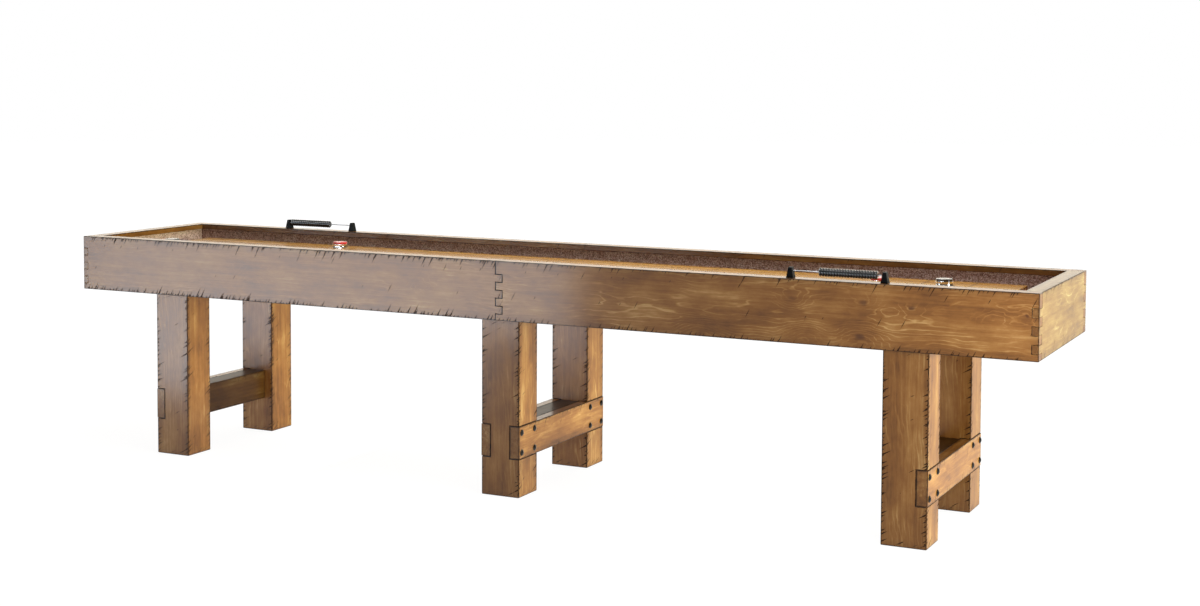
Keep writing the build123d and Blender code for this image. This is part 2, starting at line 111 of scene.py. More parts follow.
class Shader:
    """A node tree under construction. Each method adds a node and returns what it gives."""

    def __init__(self, tree):
        self.tree = tree
        tree.nodes.clear()

    def node(self, kind, inputs=(), **settings):
        made = self.tree.nodes.new("ShaderNode" + kind)
        for key, value in settings.items():
            setattr(made, key, value)
        for key, value in dict(inputs).items():
            if isinstance(value, bpy.types.NodeSocket):
                self.tree.links.new(value, made.inputs[key])
            else:
                made.inputs[key].default_value = value
        return made

    def math(self, operation, *values, clamp=False):
        return self.node("Math", enumerate(values), operation=operation, use_clamp=clamp).outputs[0]

    def add(self, *values):
        total = values[0]
        for value in values[1:]:
            total = self.math("ADD", total, value)
        return total

    def times(self, *values):
        total = values[0]
        for value in values[1:]:
            total = self.math("MULTIPLY", total, value)
        return total

    def vector(self, operation, *values):
        made = self.node("VectorMath", enumerate(values), operation=operation)
        return made.outputs["Value" if operation == "LENGTH" else "Vector"]

    def attribute(self, name):
        return self.node("Attribute", attribute_name=name).outputs["Vector"]

    def place(self):
        return self.node("TexCoord").outputs["Object"]

    def parts(self, vector):
        return list(self.node("SeparateXYZ", {0: vector}).outputs)

    def join(self, x=0.0, y=0.0, z=0.0):
        return self.node("CombineXYZ", {0: x, 1: y, 2: z}).outputs[0]

    def mix(self, share, first, second, blend="MIX"):
        made = self.node("Mix", {0: share, 6: first, 7: second}, data_type="RGBA", blend_type=blend)
        return made.outputs[2]

    def ease(self, value, low, high, start=0.0, end=1.0):
        """start below low, end above high, and smooth in between."""
        inputs = {"Value": value, "From Min": low, "From Max": high, "To Min": start, "To Max": end}
        return self.node("MapRange", inputs, interpolation_type="SMOOTHSTEP").outputs[0]

    def noise(self, place, scale, detail=2.0, roughness=0.5):
        inputs = {"Vector": place, "Scale": scale, "Detail": detail, "Roughness": roughness}
        return self.node("TexNoise", inputs).outputs[0]

    def noises(self, place, scale, detail=2.0):
        """Three separate noises, each about its middle."""
        made = self.node("TexNoise", {"Vector": place, "Scale": scale, "Detail": detail})
        return self.vector("SUBTRACT", made.outputs[1], (0.5, 0.5, 0.5))

    def random(self, vector):
        """Three random values for each whole-numbered vector."""
        return self.parts(self.node("TexWhiteNoise", {"Vector": vector}).outputs["Color"])

    def ramp(self, value, *stops):
        made = self.node("ValToRGB", {0: value})
        elements = made.color_ramp.elements
        while len(elements) < len(stops):
            elements.new(1.0)
        for element, (position, colour) in zip(elements, stops):
            element.position = position
            element.color = colour
        return made.outputs[0]

    def bump(self, height, distance, strength=1.0):
        inputs = {"Height": height, "Distance": distance, "Strength": strength}
        return self.node("Bump", inputs).outputs[0]

    def surface(self, inputs):
        made = self.node("BsdfPrincipled", inputs)
        self.node("OutputMaterial", {"Surface": made.outputs[0]})


def new_material(name):
    """A new material and the shader to build it with."""
    material = bpy.data.materials.new(name)
    material.use_nodes = True
    return material, Shader(material.node_tree)


# ---------------------------------------------------------------- wood
MARK_SLANT = 0.55         # how far a mark leans along the grain for each metre across it
MARK_WIDTH = 3.1 * MM
LANE = 85 * MM            # loose strokes lie in lanes along the grain, this far apart
RING = 12 * MM            # from one growth ring to the next
FRONT_RIGHT_KNOTS = ((1.290, 0.751, 34 * MM, 0.8), (1.449, 0.746, 24 * MM, 1.0), (1.279, 0.645, 40 * MM, 1.0),
                     (1.790, 0.744, 18 * MM, 1.0), (0.749, 0.618, 42 * MM, 0.5), (1.060, 0.750, 26 * MM, 0.3),
                     (1.100, 0.640, 36 * MM, 0.0), (1.690, 0.735, 26 * MM, 0.2))
FRONT_LEFT_KNOTS = ((-1.031, 0.698, 40 * MM, 0.0), (-0.300, 0.720, 26 * MM, 0.0))


def strokes(s, along, across, reach, pitch, longest, width, key, share):
    """Slanted chisel marks, one to a cell along the grain, that thin out as reach grows."""
    slid = s.times(s.math("SUBTRACT", along, s.times(across, MARK_SLANT)), 1 / pitch)
    first, second, third = s.random(s.join(s.math("FLOOR", slid), key, pitch * 100))
    middle = s.add(0.2, s.times(first, 0.6))
    off = s.times(s.math("ABSOLUTE", s.math("SUBTRACT", s.math("FRACT", slid), middle)), pitch)
    length = s.add(longest * 0.25, s.times(second, second, longest * 0.75))
    thick = s.times(width, s.math("SUBTRACT", 1.0, s.math("DIVIDE", reach, length)))
    inside = s.ease(s.math("SUBTRACT", thick, off), -0.3 * MM, 0.5 * MM)
    return s.times(inside, s.math("LESS_THAN", third, share))


def grown_knots(s, own, figure):
    """Knots scattered by chance: how far each pushes the rings out, and how dark its core is."""
    spots = s.node("TexVoronoi", {"Vector": s.vector("MULTIPLY", own, (3.2, 5.2, 5.2)), "Scale": 1.0})
    present = s.math("LESS_THAN", s.parts(spots.outputs["Color"])[0], s.times(figure, 0.6))
    near = s.times(spots.outputs["Distance"], 0.22)
    return (s.times(present, s.ease(near, 0.0, 0.075, 0.042, 0.0)),
            s.times(present, s.ease(near, 0.003, 0.014, 0.8, 0.0)))


def placed_knots(s, knots):
    """Knots at given places along the rail and above the floor, each with its size and darkness."""
    x, z = s.parts(s.place())[::2]
    blur = s.parts(s.noises(s.place(), 26.0))
    swell = 0.0
    core = 0.0
    for knot_x, knot_z, size, darkness in knots:
        beside = s.times(s.add(x, -knot_x, s.times(blur[0], 0.030)), 0.62)
        above = s.add(z, -knot_z, s.times(blur[1], 0.018))
        off = s.vector("LENGTH", s.join(beside, above))
        swell = s.add(swell, s.ease(off, 0.0, size * 1.9, size * 1.25, 0.0))
        core = s.add(core, s.ease(off, size * 0.06, size * 0.36, darkness, 0.0))
    return swell, core


def wood_pattern(s, knots):
    """The grain of a board, from the place, half size, kind, wear and painted-light yellowing that its mesh
    holds.
    """
    place = s.attribute("board_place")
    seed, figure, tone = s.parts(s.attribute("board_kind"))
    wear, lit_paleness = s.parts(s.attribute("board_wear_and_lit_paleness"))[:2]
    along, across, deep = s.parts(place)
    to_edges = s.vector("SUBTRACT", s.attribute("board_half"), s.vector("ABSOLUTE", place))
    to_end, to_side, to_face = s.parts(to_edges)
    lowest = s.math("MINIMUM", to_end, s.math("MINIMUM", to_side, to_face))
    highest = s.math("MAXIMUM", to_end, s.math("MAXIMUM", to_side, to_face))
    inset = s.math("SUBTRACT", s.add(to_end, to_side, to_face), s.add(lowest, highest))

    own = s.vector("ADD", place, s.join(s.times(seed, 17.0), s.times(seed, 5.3), s.times(seed, 3.1)))
    slow = s.parts(s.noises(s.vector("MULTIPLY", own, (1.0, 2.2, 2.2)), 1.0))
    wavy = s.parts(s.noises(s.vector("MULTIPLY", own, (5.0, 9.0, 9.0)), 1.0, 1.0))
    bend = s.times(figure, 0.045)
    ripple = s.times(s.add(s.noise(s.vector("MULTIPLY", own, (7.0, 45.0, 45.0)), 1.0), -0.5), 0.030)
    swell, core = placed_knots(s, knots) if knots else grown_knots(s, own, figure)
    rise = s.add(across, s.times(slow[0], 0.24), s.times(wavy[0], bend))
    depth = s.add(deep, 0.075, s.times(slow[1], 0.16), s.times(wavy[1], bend))
    radius = s.add(s.vector("LENGTH", s.join(rise, depth)), swell, ripple)
    ring = s.math("ABSOLUTE", s.math("SUBTRACT", s.math("FRACT", s.times(radius, 1 / RING)), 0.5))
    patchy = s.ease(s.noise(s.vector("MULTIPLY", own, (5.0, 12.0, 12.0)), 1.0), 0.40, 0.62, 0.10, 1.0)
    shown = s.math("MAXIMUM", patchy, s.times(swell, 14.0), clamp=True)
    bright = s.times(s.ease(ring, 0.02, 0.16, 1.0, 0.0), shown)

    fibre = s.noise(s.vector("MULTIPLY", own, (22.0, 560.0, 560.0)), 1.0, 2.0)
    streak = s.noise(s.vector("MULTIPLY", own, (2.6, 90.0, 90.0)), 1.0, 4.0, 0.6)
    broad = s.noise(s.vector("MULTIPLY", own, (1.6, 16.0, 16.0)), 1.0, 3.0)
    stain = s.noise(s.vector("MULTIPLY", own, (6.0, 12.0, 12.0)), 1.0, 6.0, 0.62)
    tint = s.add(0.47, s.times(bright, s.add(0.10, s.times(figure, 0.13))), s.times(s.add(fibre, -0.5), 0.26),
                 s.times(s.add(streak, -0.5), 0.52), s.times(s.add(broad, -0.5), 0.50),
                 s.times(s.add(stain, -0.5), 1.05), s.times(swell, -2.2))
    return {"along": along, "wide": s.add(across, deep), "inset": inset, "to_end": to_end, "own": own,
            "seed": seed, "tone": tone, "wear": wear, "lit_paleness": lit_paleness, "tint": tint, "bright": bright,
            "fibre": fibre, "stain": stain, "core": core, "flesh": s.ease(to_end, 0.2 * MM, 0.6 * MM),
            "side": s.add(s.math("SIGN", across), s.times(s.math("SIGN", deep), 2.7))}


def wood_marks(s, board):
    """Chisel marks along the edges, and strokes and worm holes over the faces. More wear, more marks."""
    along = board["along"]
    wide = board["wide"]
    key = s.add(board["seed"], board["side"])
    crowd = s.noise(s.join(s.times(along, 2.6), key), 1.0, 1.0)
    busy = s.times(board["wear"], s.ease(crowd, 0.36, 0.56, 0.25, 0.95))
    width = s.times(s.add(0.55, s.times(board["wear"], 0.45)), MARK_WIDTH)
    edge = strokes(s, along, wide, board["inset"], 0.030, 0.040, width, key, s.times(busy, 0.9))
    nicks = strokes(s, along, wide, board["inset"], 0.015, 0.025, width, s.add(key, 31.0), busy)

    row = s.times(wide, 1 / LANE)
    lane = s.math("FLOOR", row)
    height = s.times(s.math("ABSOLUTE", s.math("SUBTRACT", s.math("FRACT", row), 0.5)), LANE)
    loose = strokes(s, along, wide, height, 0.080, 0.020, 1.5 * MM, s.add(lane, board["seed"], 77.0), 0.34)
    holes = s.node("TexVoronoi", {"Vector": board["own"], "Scale": 17.0})
    rare = s.math("LESS_THAN", s.parts(holes.outputs["Color"])[0], 0.14)
    worm = s.times(rare, s.ease(holes.outputs["Distance"], 0.012, 0.028, 1.0, 0.0))
    most = s.math("MAXIMUM", s.math("MAXIMUM", edge, nicks), s.math("MAXIMUM", loose, worm))
    return s.times(most, s.ease(board["to_end"], 2 * MM, 16 * MM))


def wood_material(name, knots=()):
    """Stained, lacquered wood that darkens towards its edges. Its yellowing is painted light for a strongly
    lit board.
    """
    material, s = new_material(name)
    board = wood_pattern(s, knots)
    marks = wood_marks(s, board)
    colour = s.ramp(board["tint"], (0.10, rgb(0.065, 0.022, 0.004)), (0.44, rgb(0.160, 0.063, 0.012)),
                    (0.62, rgb(0.215, 0.098, 0.024)), (0.90, rgb(0.345, 0.205, 0.075)))
    ground = s.noise(board["own"], 55.0, 3.0)
    worn = s.add(board["inset"], s.times(s.add(ground, -0.5), 7 * MM))
    shade = s.times(s.ease(worn, 0.5 * MM, 5.5 * MM, 0.30, 1.0), s.ease(worn, 0.0, 32 * MM, 0.84, 1.0))
    shade = s.times(shade, board["tone"], s.add(0.78, s.times(board["flesh"], 0.22)))
    # painted light: a board that faces the key lamp is made paler and yellower, apart from its end grain
    pale = s.times(board["flesh"], s.add(board["lit_paleness"], -1.0))
    green = s.times(shade, s.add(1.0, pale))
    blue = s.times(shade, s.add(1.0, s.times(pale, 1.9)))
    colour = s.mix(1.0, colour, s.join(shade, green, blue), "MULTIPLY")
    colour = s.mix(s.math("MULTIPLY", board["core"], 0.8, clamp=True), colour, rgb(0.050, 0.016, 0.005))
    colour = s.mix(s.times(marks, 0.94), colour, rgb(0.012, 0.005, 0.002))
    height = s.add(s.times(board["fibre"], 0.25), s.times(board["bright"], 0.12), s.times(marks, -1.6))
    rough = s.add(0.42, s.times(board["stain"], 0.14), s.times(marks, 0.3))
    shine = s.times(s.math("SUBTRACT", 1.0, marks), s.math("MINIMUM", board["tone"], 1.0))
    s.surface({"Base Color": colour, "Roughness": rough, "Normal": s.bump(height, 0.5 * MM, 0.8),
               "Specular IOR Level": 0.08, "Coat Weight": s.times(0.45, shine), "Coat Roughness": 0.22,
               "Coat IOR": 1.5})
    return material


def burnished_material(name, dark, light):
    """The rubbed, darkened arris of a board."""
    material, s = new_material(name)
    place = s.place()
    patch = s.noise(place, 60.0, 4.0, 0.65)
    grit = s.noise(place, 420.0, 2.0)
    colour = s.ramp(patch, (0.35, dark), (0.80, light))
    s.surface({"Base Color": colour, "Roughness": s.add(0.42, s.times(grit, 0.2)),
               "Normal": s.bump(s.add(patch, s.times(grit, 0.4)), 0.6 * MM), "Specular IOR Level": 0.12})
    return material


# ---------------------------------------------------------------- other materials
STRIP_WIDTH = 22.6 * MM
STRIP_LENGTH = 950 * MM
LINES = (0.0, 0.600, 1.350, 1.510)      # across the playing board, out from its middle
PLY = 1.5 * MM


def maple_material():
    """The playing board: lacquered maple strips, jointed end to end, with painted lines."""
    material, s = new_material("lacquered_maple_strips")
    place = s.place()
    x, y = s.parts(place)[:2]
    row = s.times(y, 1 / STRIP_WIDTH)
    strip = s.math("FLOOR", row)
    slide, tone, cut = s.random(s.join(strip, 3.0, 1.0))
    piece = s.add(s.times(x, 1 / STRIP_LENGTH), s.times(slide, 7.0))
    tones = s.random(s.join(strip, s.math("FLOOR", piece), 9.0))
    own = s.vector("ADD", place, s.join(s.times(tones[1], 9.0), s.times(tone, 4.0), s.times(cut, 4.0)))
    fibre = s.noise(s.vector("MULTIPLY", own, (11.0, 420.0, 420.0)), 1.0, 3.0, 0.6)
    figure = s.noise(s.vector("MULTIPLY", own, (3.0, 70.0, 70.0)), 1.0, 3.0)
    tint = s.add(0.5, s.times(s.add(tones[0], -0.5), 0.55), s.times(s.add(fibre, -0.5), 0.5),
                 s.times(s.add(figure, -0.5), 0.6))
    colour = s.ramp(tint, (0.1, rgb(0.40, 0.170, 0.020)), (0.5, rgb(0.58, 0.265, 0.032)),
                    (0.9, rgb(0.72, 0.37, 0.055)))
    seam = s.math("ABSOLUTE", s.math("SUBTRACT", s.math("FRACT", row), 0.5))
    butt = s.math("ABSOLUTE", s.math("SUBTRACT", s.math("FRACT", piece), 0.5))
    joints = s.math("MAXIMUM", s.ease(seam, 0.478, 0.497), s.ease(butt, 0.4988, 0.4996))
    colour = s.mix(s.times(joints, 0.5), colour, rgb(0.10, 0.04, 0.01))
    span = s.math("ABSOLUTE", x)
    lines = 0.0
    for line in LINES:
        off = s.math("ABSOLUTE", s.math("SUBTRACT", span, line))
        lines = s.math("MAXIMUM", lines, s.ease(off, 1.6 * MM, 2.2 * MM, 1.0, 0.0))
    colour = s.mix(s.times(lines, 0.92), colour, rgb(0.012, 0.008, 0.006))
    s.surface({"Base Color": colour, "Roughness": s.add(0.22, s.times(figure, 0.1)),
               "Normal": s.bump(s.add(s.times(fibre, 0.3), s.times(joints, -0.6)), 0.2 * MM, 0.6),
               "Coat Weight": 0.5, "Coat Roughness": 0.08, "Coat IOR": 1.5})
    return material


def carpet_material():
    """Short, speckled loop pile."""
    material, s = new_material("speckled_carpet")
    place = s.place()
    tuft = s.node("TexVoronoi", {"Vector": place, "Scale": 310.0})
    yarn = s.parts(tuft.outputs["Color"])[0]
    fleck = s.noise(place, 170.0, 3.0, 0.7)
    patch = s.noise(place, 22.0, 2.0)
    tint = s.add(s.times(yarn, 0.45), s.times(fleck, 0.75), s.times(patch, 0.16), -0.19)
    colour = s.ramp(tint, (0.18, rgb(0.150, 0.070, 0.050)), (0.48, rgb(0.430, 0.260, 0.200)),
                    (0.66, rgb(0.680, 0.480, 0.400)), (0.86, rgb(0.900, 0.780, 0.710)))
    height = s.add(s.times(tuft.outputs["Distance"], -1.0), s.times(fleck, 0.8))
    s.surface({"Base Color": colour, "Roughness": 0.95, "Normal": s.bump(height, 1.6 * MM),
               "Specular IOR Level": 0.2, "Sheen Weight": 0.35, "Sheen Roughness": 0.5})
    return material


def metal_material(name, dark, light, roughness, grain=(1.0, 1.0, 1.0)):
    """Worked metal: faint tool marks, smudges and small scratches."""
    material, s = new_material(name)
    place = s.place()
    smudge = s.noise(place, 45.0, 3.0, 0.6)
    brushed = s.noise(s.vector("MULTIPLY", place, grain), 600.0, 3.0, 0.7)
    colour = s.ramp(s.add(s.times(smudge, 0.6), s.times(brushed, 0.4)), (0.3, dark), (0.7, light))
    rough = s.add(roughness, s.times(smudge, 0.14), s.times(brushed, 0.10))
    s.surface({"Base Color": colour, "Metallic": 1.0, "Roughness": rough,
               "Normal": s.bump(brushed, 0.06 * MM, 0.5)})
    return material


def plastic_material(name, dark, light, roughness, coat, specular=0.5):
    """Moulded plastic with a faint orange peel and rubbed places."""
    material, s = new_material(name)
    place = s.place()
    peel = s.noise(place, 520.0, 2.0)
    rub = s.noise(place, 65.0, 4.0, 0.65)
    colour = s.ramp(rub, (0.35, dark), (0.75, light))
    s.surface({"Base Color": colour, "Roughness": s.add(roughness, s.times(rub, 0.16)),
               "Normal": s.bump(peel, 0.08 * MM, 0.5), "Specular IOR Level": specular, "Coat Weight": coat,
               "Coat Roughness": 0.1})
    return material


def sawn_material(name, dark, light, grain, ply=0.0):
    """Plain unfinished wood: softwood with its rings, or the layers of plywood."""
    material, s = new_material(name)
    place = s.place()
    warp = s.vector("MULTIPLY", s.noises(place, 3.0), (0.05, 0.05, 0.05))
    own = s.vector("MULTIPLY", s.vector("ADD", place, warp), grain)
    rings = s.noise(own, 1.0, 4.0, 0.6)
    fibre = s.noise(own, 7.0, 2.0)
    colour = s.ramp(s.add(s.times(rings, 0.7), s.times(fibre, 0.3)), (0.36, dark), (0.62, light))
    layer = s.math("FRACT", s.times(s.parts(place)[Z], 1 / PLY))
    colour = s.mix(s.times(s.ease(layer, 0.4, 0.6), ply), colour, dark)
    s.surface({"Base Color": colour, "Roughness": s.add(0.62, s.times(fibre, 0.2)),
               "Normal": s.bump(fibre, 0.3 * MM, 0.7)})
    return material


# ---------------------------------------------------------------- mesh helpers
SHARP_ANGLE = math.radians(50)
WOOD, ARRIS, SPLICE_GAP_SHADE = 0, 1, 2      # a board's material slots


def spans(box):
    """Three (low, high) pairs of a box."""
    return [(box[0][k], box[1][k]) for k in (X, Y, Z)]


def add_object(name, mesh, body):
    """A new object that rides on a CAD body."""
    piece = bpy.data.objects.new(name, mesh)
    bpy.context.scene.collection.objects.link(piece)
    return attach(piece, body)


def mesh_from(shape, name, materials):
    """A mesh from a bmesh, smooth across its small bevels and sharp at its other edges."""
    bmesh.ops.recalc_face_normals(shape, faces=shape.faces)
    for face in shape.faces:
        face.smooth = True
    for edge in shape.edges:
        edge.smooth = len(edge.link_faces) == 2 and edge.calc_face_angle(0.0) < SHARP_ANGLE
    mesh = bpy.data.meshes.new(name)
    shape.to_mesh(mesh)
    shape.free()
    for material in materials:
        mesh.materials.append(material)
    return mesh


def weigh_normals(piece):
    """Keeps large flat faces flat beside smooth bevels."""
    modifier = piece.modifiers.new("weighted_normals", "WEIGHTED_NORMAL")
    modifier.keep_sharp = True


def flatten(mesh):
    """Leaves only the bevels smooth, so that a wide face has one normal."""
    for face in mesh.polygons:
        face.use_smooth = face.material_index != WOOD


def block(x, y, z):
    """A box between pairs of coordinates."""
    shape = bmesh.new()
    bmesh.ops.create_cube(shape, size=1.0)
    for vertex in shape.verts:
        share = [c + 0.5 for c in vertex.co]
        vertex.co = [low + (high - low) * t for (low, high), t in zip((x, y, z), share)]
    return shape


def cad_shape(node):
    """A CAD node's shape, with its flat faces whole again."""
    shape = bmesh.new()
    shape.from_mesh(frame["nodes"][node].data)
    bmesh.ops.remove_doubles(shape, verts=shape.verts, dist=0.01 * MM)
    bmesh.ops.dissolve_limit(shape, angle_limit=math.radians(1), verts=shape.verts, edges=shape.edges)
    return shape


def soften(shape, width, segments=2, material=-1, shortest=12 * MM, skip=None, clamp=True):
    """Bevels the long sharp edges, apart from those that skip picks out. A clamped bevel may be narrower."""
    edges = []
    for edge in shape.edges:
        sharp = len(edge.link_faces) == 2 and edge.calc_face_angle(0.0) > math.radians(30)
        if sharp and edge.calc_length() > shortest and not (skip and skip(edge)):
            edges.append(edge)
    bmesh.ops.bevel(shape, geom=edges, offset=width, segments=segments, profile=0.5, affect="EDGES",
                    clamp_overlap=clamp, material=material)


def lathe(profile, place, axis, steps, shape):
    """Turns (radius, height) points round an axis and adds the result to shape."""
    quarter = {X: Matrix.Rotation(math.radians(90), 3, "Y"), Y: Matrix.Rotation(math.radians(-90), 3, "X"),
               Z: Matrix.Identity(3)}[axis]
    rings = []
    for radius, height in profile:
        ring = []
        for n in range(steps if radius > 0 else 1):
            angle = 2 * math.pi * n / steps
            point = Vector((radius * math.cos(angle), radius * math.sin(angle), height))
            ring.append(shape.verts.new(quarter @ point + Vector(place)))
        rings.append(ring)
    for lower, upper in zip(rings, rings[1:]):
        for n in range(steps):
            corners = [lower[n % len(lower)], lower[(n + 1) % len(lower)],
                       upper[(n + 1) % len(upper)], upper[n % len(upper)]]
            unique = list(dict.fromkeys(corners))
            if len(unique) > 2:
                shape.faces.new(unique)


def arc(centre, radius, start, end, count):
    """Points along an arc, angles in degrees."""
    angles = [math.radians(start + (end - start) * n / count) for n in range(count + 1)]
    return [(centre[0] + radius * math.cos(a), centre[1] + radius * math.sin(a)) for a in angles]


# ---------------------------------------------------------------- wooden pieces
def give_grain(mesh, box, along, kind, wear_and_lit_paleness):
    """Tells a mesh where it lies in its board and how big the board is.

    The kind is a seed, how figured the grain is and how light the tone. The last pair is wear and a yellowing
    that is painted light, for a board the key lamp lights strongly.
    """
    low, high = box
    others = [k for k in (X, Y, Z) if k != along]
    order = (along, others[1], others[0])
    middle = (low + high) / 2
    half = (high - low) / 2
    values = {"board_place": None, "board_half": [half[k] for k in order], "board_kind": kind,
              "board_wear_and_lit_paleness": (*wear_and_lit_paleness, 0.0)}
    for name, fixed in values.items():
        layer = mesh.attributes.new(name, "FLOAT_VECTOR", "POINT")
        for vertex, item in zip(mesh.vertices, layer.data):
            item.vector = fixed or [vertex.co[k] - middle[k] for k in order]


def wooden(node, materials, along, kind, wear_and_lit_paleness=(1.0, 1.0), bevel=2 * MM, box=None, skip=None, joint=None):
    """Stands for a one-solid CAD node of wood, with softened, darkened edges and its own grain."""
    shape = cad_shape(node)
    soften(shape, bevel, material=ARRIS, skip=skip, clamp=False)
    for face in shape.faces:
        if face.material_index == ARRIS and joint:
            face.material_index = joint(face)
    mesh = mesh_from(shape, node + "_board", materials)
    flatten(mesh)
    give_grain(mesh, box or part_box(node), along, kind, wear_and_lit_paleness)
    piece = add_object(node + "_board", mesh, TABLE)
    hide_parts(node)
    weigh_normals(piece)


def lip_width():
    """How far the lips overhang the carpet."""
    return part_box("side_lips")[1].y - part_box("end_lips")[1].y


def rim_board(node, axis):
    """The box of a rail together with its lip, which are finished as one surface."""
    low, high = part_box(node)
    if high[axis] > 0:
        low[axis] -= lip_width()
    else:
        high[axis] += lip_width()
    return low, high


def on_top_seam(axis, place, top):
    """Picks out the edge where a rail's top meets its lip, which is sanded flush."""
    def picks(edge):
        return all(abs(v.co[axis] - place) < 0.1 * MM and abs(v.co.z - top) < 0.1 * MM for v in edge.verts)
    return picks


CORNER_DEPTH = 21 * MM    # of the finger joint, in from the table's end
SPLICE_REACH = 60 * MM    # the splice lies within this distance of the table's middle
RAIL_BEVEL = 1.6 * MM
LIP_BEVEL = 1.2 * MM
RAIL_KINDS = {"front_rail_left": (0.31, 0.22, 1.0), "front_rail_right": (0.47, 1.0, 1.0),
              "rear_rail_left": (0.62, 0.6, 1.0), "rear_rail_right": (0.86, 0.35, 1.0),
              "end_rail_left": (0.11, 0.5, 1.0), "end_rail_right": (0.23, 0.8, 0.96)}
RAIL_WEAR = {"front_rail_left": 1.35, "front_rail_right": 0.60, "end_rail_right": 0.35}
# painted light: the right end rail and its lip are made paler and yellower for the strong key lamp on that
# end
RAIL_LIT_PALENESS = {"end_rail_right": 1.30}
LIP_WEAR = 0.12


def make_lip(name, x, y, box, along, axis, node, materials):
    """One strip of lip, which takes its grain from the rail beside it."""
    z = spans(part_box("side_lips"))[Z]
    outer = max((x, y)[axis], key=abs)
    shape = block(x, y, z)
    soften(shape, LIP_BEVEL, material=ARRIS, skip=on_top_seam(axis, outer, z[1]))
    mesh = mesh_from(shape, name, materials)
    flatten(mesh)
    give_grain(mesh, box, along, RAIL_KINDS[node], (LIP_WEAR, RAIL_LIT_PALENESS.get(node, 1.0)))
    piece = add_object(name, mesh, TABLE)
    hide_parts("end_lips" if axis == X else "side_lips")
    weigh_normals(piece)


def bevel_kind(axis, start):
    """Sorts a rail's bevels: wood in the corner's finger joint, a near-black line of painted shade in the
    splice's gap, else arris.
    """
    corner = cad_box[1] - Vector((RAIL_BEVEL, RAIL_BEVEL, 0.0)) * 1.1

    def kind(face):
        places = [v.co[axis] for v in face.verts]
        outside = all(abs(v.co.x) > corner.x and abs(v.co.y) > corner.y for v in face.verts)
        if axis == X and max(map(abs, places)) < SPLICE_REACH:
            return SPLICE_GAP_SHADE
        return ARRIS if outside or min(map(abs, places)) < start - 0.1 * MM else WOOD
    return kind


def make_rim(woods, arris, splice_gap_shade):
    """Four half rails, two end rails and the lips round the inside of the rim."""
    reach_x, reach_y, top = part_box("side_lips")[1]
    corner_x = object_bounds()[1].x - CORNER_DEPTH
    splice = (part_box("front_rail_left")[1].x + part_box("front_rail_right")[0].x) / 2
    for node, kind in RAIL_KINDS.items():
        axis = X if node.startswith("end") else Y
        along = Y if node.startswith("end") else X
        board = rim_board(node, axis)
        low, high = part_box(node)
        inner = min(low[axis], high[axis], key=abs)
        materials = (woods.get(node, woods["plain"]), arris, splice_gap_shade)
        joint = bevel_kind(X, corner_x) if along == X else bevel_kind(Y, reach_y)
        wear_and_lit_paleness = (RAIL_WEAR.get(node, 1.0), RAIL_LIT_PALENESS.get(node, 1.0))
        wooden(node, materials, along, kind, wear_and_lit_paleness, bevel=RAIL_BEVEL, box=board,
               skip=on_top_seam(axis, inner, top), joint=joint)
        sign = 1 if high[axis] > 0 else -1
        lip = sorted((inner, inner - sign * lip_width()))
        if axis == X:
            clear = reach_y - lip_width()
            make_lip(node + "_lip", lip, (-clear, clear), board, Y, X, node, materials)
        else:
            x = (-reach_x, splice) if node.endswith("left") else (splice, reach_x)
            make_lip(node + "_lip", x, lip, board, X, Y, node, materials)


LEG_BEVEL = 3 * MM
LEG_WEAR = 1.4
PLATE_WEAR = 0.4
PLATE_TONE = 1.18
# painted shade: the cross beams, which stand in shade between the legs, are made far darker and get less
# lacquer
BEAM_SHADE_TONE = 0.26
PLAYFIELD_BEVEL = 0.7 * MM


def make_leg_frames(materials):
    """Legs, cross beams and side plates."""
    nodes = sorted(n for n in frame["nodes"] if n.startswith(("leg_left", "leg_middle", "leg_right")))
    for number, node in enumerate(nodes):
        seed = (0.37 + 0.618 * number) % 1
        tone = 0.95 if "right" in node else 1.0
        kind = (seed, 0.35 + 0.3 * (number % 2), tone)
        wooden(node, materials, Z, kind, wear_and_lit_paleness=(LEG_WEAR, 1.0), bevel=LEG_BEVEL)
    nodes = sorted(n for n in frame["nodes"] if n.startswith(("side_plate", "cross_beam")))
    for number, node in enumerate(nodes):
        seed = (0.15 + 0.618 * number) % 1
        tone = BEAM_SHADE_TONE if "beam" in node else PLATE_TONE
        wooden(node, materials, Y, (seed, 0.45, tone), wear_and_lit_paleness=(PLATE_WEAR, 1.0))


def make_playfield(material):
    """The playing board."""
    shape = cad_shape("playfield")
    soften(shape, PLAYFIELD_BEVEL, shortest=100 * MM)
    piece = add_object("playing_board", mesh_from(shape, "playing_board", [material]), TABLE)
    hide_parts("playfield")
    weigh_normals(piece)


# ---------------------------------------------------------------- carpets
CARPET_CELL = 8 * MM
CARPET_ROLL = 1.2 * MM    # how far the cut edge of the pile rounds off
CARPET_LUMP = 0.7 * MM    # how uneven the pile is
CARPET_SEAM_X = 4 * MM    # where the carpet of a long wall is joined
GUTTER_INNER_Y = 165 * MM
GUTTER_INNER_X = 1480 * MM


